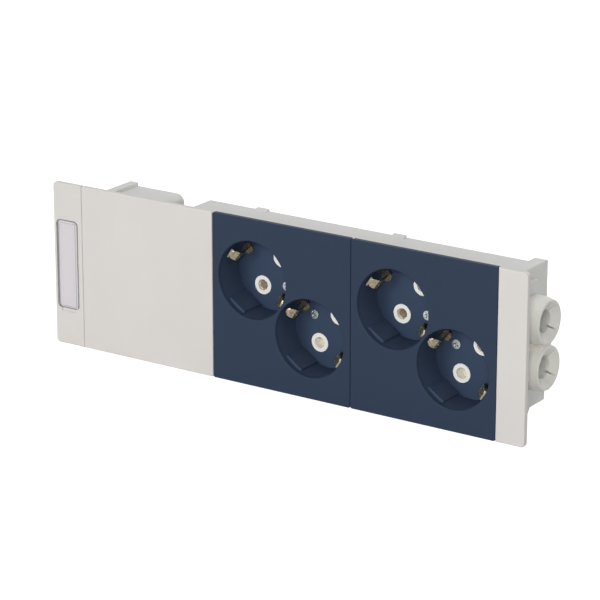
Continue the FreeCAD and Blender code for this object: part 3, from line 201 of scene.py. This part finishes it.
def metal(name, colour, roughness, streak, shine=1.0, depth=0.15, tarnish=0.7):
    """Stamped or turned metal with fine drawing lines and a little tarnish."""
    tree, shader, place = new_shader(name)
    shader.inputs["Metallic"].default_value = shine
    lines = noise(tree, stretched(tree, place, (1.0, 0.06, 1.0)), streak, 4.0)
    tone = ramp(tree, lines, scaled(colour, tarnish), scaled(colour, 1.15))
    tree.links.new(tone, shader.inputs["Base Color"])
    gloss = spread(tree, lines, roughness - 0.08, roughness + 0.1)
    tree.links.new(gloss, shader.inputs["Roughness"])
    bump(tree, shader, lines, depth, LINE_HEIGHT)


def clear_window(name, face_colour, edge_shade_colour):
    """Clear sheet whose cut edges are painted grey and nearly opaque as painted shade for the dark
    outline round it, with faint haze on its face.
    """
    tree, shader, place = new_shader(name)
    normal = tree.nodes.new("ShaderNodeNewGeometry").outputs["True Normal"]
    facing = tree.nodes.new("ShaderNodeMath")
    facing.operation = "ABSOLUTE"
    tree.links.new(part_y(tree, normal), facing.inputs[0])
    # Painted shade: faces that do not face the front get the grey edge colour and more opacity
    tone = ramp(tree, facing.outputs["Value"], edge_shade_colour, face_colour, 0.4, 0.6)
    tree.links.new(tone, shader.inputs["Base Color"])
    tree.links.new(spread(tree, facing.outputs["Value"], 0.7, 0.03), shader.inputs["Alpha"])
    haze = noise(tree, place, 400.0, 3.0)
    tree.links.new(spread(tree, haze, 0.08, 0.2), shader.inputs["Roughness"])


def card(name, colour):
    """Uncoated card with short fibres."""
    tree, shader, place = new_shader(name)
    fibres = noise(tree, stretched(tree, place, (1.0, 1.0, 0.35)), 2600.0, 4.0)
    tone = ramp(tree, fibres, scaled(colour, 0.97), scaled(colour, 1.02))
    tree.links.new(tone, shader.inputs["Base Color"])
    tree.links.new(spread(tree, fibres, 0.75, 0.95), shader.inputs["Roughness"])
    bump(tree, shader, fibres, 0.2, LINE_HEIGHT)


plastic("front_white", (0.70, 0.671, 0.642), 0.45, 9000, 0.25)
# The blue's faces inside the wells are painted 1.42 times paler, as painted light standing in for
# soft light reaching into them
plastic("front_blue", (0.0302, 0.0465, 0.081), 0.42, 9000, 0.3, specular=0.08, sunk_painted_light=1.42)
plastic("frame_white", (0.72, 0.72, 0.70), 0.5, 5000, 0.15, drift=0.03, milky=0.3, specular=0.12)
plastic("housing_white", (0.70, 0.705, 0.68), 0.38, 5000, 0.15, drift=0.03, milky=0.4)
plastic("bushing_white", (0.76, 0.75, 0.70), 0.5, 7000, 0.2, drift=0.04, milky=0.6)
card("label_card", (0.72, 0.69, 0.71))
# The window's grey edge colour is painted shade for the dark outline round the label
clear_window("label_clear", (0.74, 0.73, 0.77), (0.34, 0.33, 0.34))
plastic("guide_white", (0.93, 0.925, 0.89), 0.4, 6000, 0.15)
plastic("block_grey", (0.40, 0.41, 0.42), 0.5, 6000, 0.2)
plastic("shutter_cream", (0.74, 0.68, 0.52), 0.4, 6000, 0.15)
metal("strip_brass", (0.38, 0.33, 0.235), 0.28, 1100, shine=0.9, depth=0.1, tarnish=0.4)
metal("sleeve_brass", (0.86, 0.75, 0.60), 0.5, 900, shine=0.4)
metal("spring_steel", (0.62, 0.62, 0.63), 0.25, 1200)
metal("screw_steel", (0.34, 0.36, 0.37), 0.2, 1500, depth=0.01, tarnish=0.95)
plastic("wire_brown", (0.12, 0.05, 0.022), 0.35, 3000, 0.1)
plastic("wire_blue", (0.03, 0.12, 0.45), 0.35, 3000, 0.1)
plastic("wire_green", (0.14, 0.38, 0.05), 0.35, 3000, 0.1)
for entry in frame["record"]["subparts"]:
    for place in nodes[entry["node"]].material_slots:
        place.material = materials[entry["material_slot"]]

# Each shutter's spring is shown as its own copy of the mesh, held by the joint's parent body, and
# the original part is hidden
for joint in frame["joints"]:
    for entry in joint.get("deforming_nodes", []):
        spring = bpy.data.objects.new(entry["node"] + "_fold", nodes[entry["node"]].data.copy())
        bpy.context.collection.objects.link(spring)
        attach(spring, joint["parent"])
        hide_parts(entry["node"])
        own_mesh(spring)

# Camera at the photograph's angle
turn = math.radians(CAMERA_TURN)
lift = math.radians(CAMERA_LIFT)
right = Vector((math.cos(turn), math.sin(turn), 0))
level = Vector((math.sin(turn), -math.cos(turn), 0))
back = level * math.cos(lift) + Vector((0, 0, math.sin(lift)))
up = back.cross(right)
shift = CAMERA_SHIFT_RIGHT * right + CAMERA_SHIFT_UP * up
eye = shift + CAMERA_DISTANCE * back + PLATE_MIDDLE
lens = bpy.data.cameras.new("camera")
lens.sensor_width = 36
lens.lens = CAMERA_LENS
lens.clip_end = 20
camera = bpy.data.objects.new("camera", lens)
camera.matrix_world = Matrix((
    (right.x, up.x, back.x, eye.x),
    (right.y, up.y, back.y, eye.y),
    (right.z, up.z, back.z, eye.z),
    (0, 0, 0, 1),
))
bpy.context.collection.objects.link(camera)
bpy.context.scene.camera = camera


def lamp(name, place, size, power):
    """A soft square lamp that points at the middle of the unit."""
    light = bpy.data.lights.new(name, "AREA")
    light.size = size
    light.energy = power
    holder = bpy.data.objects.new(name, light)
    holder.location = place
    holder.rotation_euler = (-Vector(place)).to_track_quat("-Z", "Y").to_euler()
    bpy.context.collection.objects.link(holder)


lamp("key", (-0.75, -2.35, 0.5), 1.0, 23.3)
lamp("front", (1.7, -2.8, 1.1), 0.8, 46)
lamp("side", (2.2, -1.0, 2.2), 1.2, 10.5)
lamp("top", (-0.4, 0.5, 1.8), 1.4, 12.3)
lamp("back", (0.3, 2.7, 0.7), 1.4, 22)


def seen_directly(tree):
    """1 for camera, mirror and glass rays, 0 for the rays that light the unit."""
    path = tree.nodes.new("ShaderNodeLightPath")
    total = path.outputs["Is Camera Ray"]
    for kind in ("Is Glossy Ray", "Is Transmission Ray"):
        add = tree.nodes.new("ShaderNodeMath")
        add.operation = "MAXIMUM"
        tree.links.new(total, add.inputs[0])
        tree.links.new(path.outputs[kind], add.inputs[1])
        total = add.outputs["Value"]
    return total


# Pale floor under the unit, lifted to white where it is seen directly
low = cad_box[0][2]
mesh = bpy.data.meshes.new("floor")
corners = [(x * FLOOR_REACH, y * FLOOR_REACH, low) for x, y in ((-1, -1), (1, -1), (1, 1), (-1, 1))]
mesh.from_pydata(corners, [], [(0, 1, 2, 3)])
floor = bpy.data.objects.new("floor", mesh)
bpy.context.collection.objects.link(floor)
paint = bpy.data.materials.new("floor")
paint.use_nodes = True
tree = paint.node_tree
shader = tree.nodes["Principled BSDF"]
shader.inputs["Base Color"].default_value = (0.55, 0.55, 0.55, 1)
shader.inputs["Roughness"].default_value = 0.9
shader.inputs["Specular IOR Level"].default_value = 0.0
shader.inputs["Emission Color"].default_value = (1, 1, 1, 1)
glow = spread(tree, seen_directly(tree), 0.0, FLOOR_GLOW)
tree.links.new(glow, shader.inputs["Emission Strength"])
mesh.materials.append(paint)

# White surroundings that give the unit only a little light
world = bpy.data.worlds.new("studio")
world.use_nodes = True
tree = world.node_tree
surround = tree.nodes["Background"]
surround.inputs["Color"].default_value = (1, 1, 1, 1)
glow = spread(tree, seen_directly(tree), FILL_LIGHT, 1.0)
tree.links.new(glow, surround.inputs["Strength"])
bpy.context.scene.world = world
bpy.context.scene.view_settings.view_transform = "Standard"
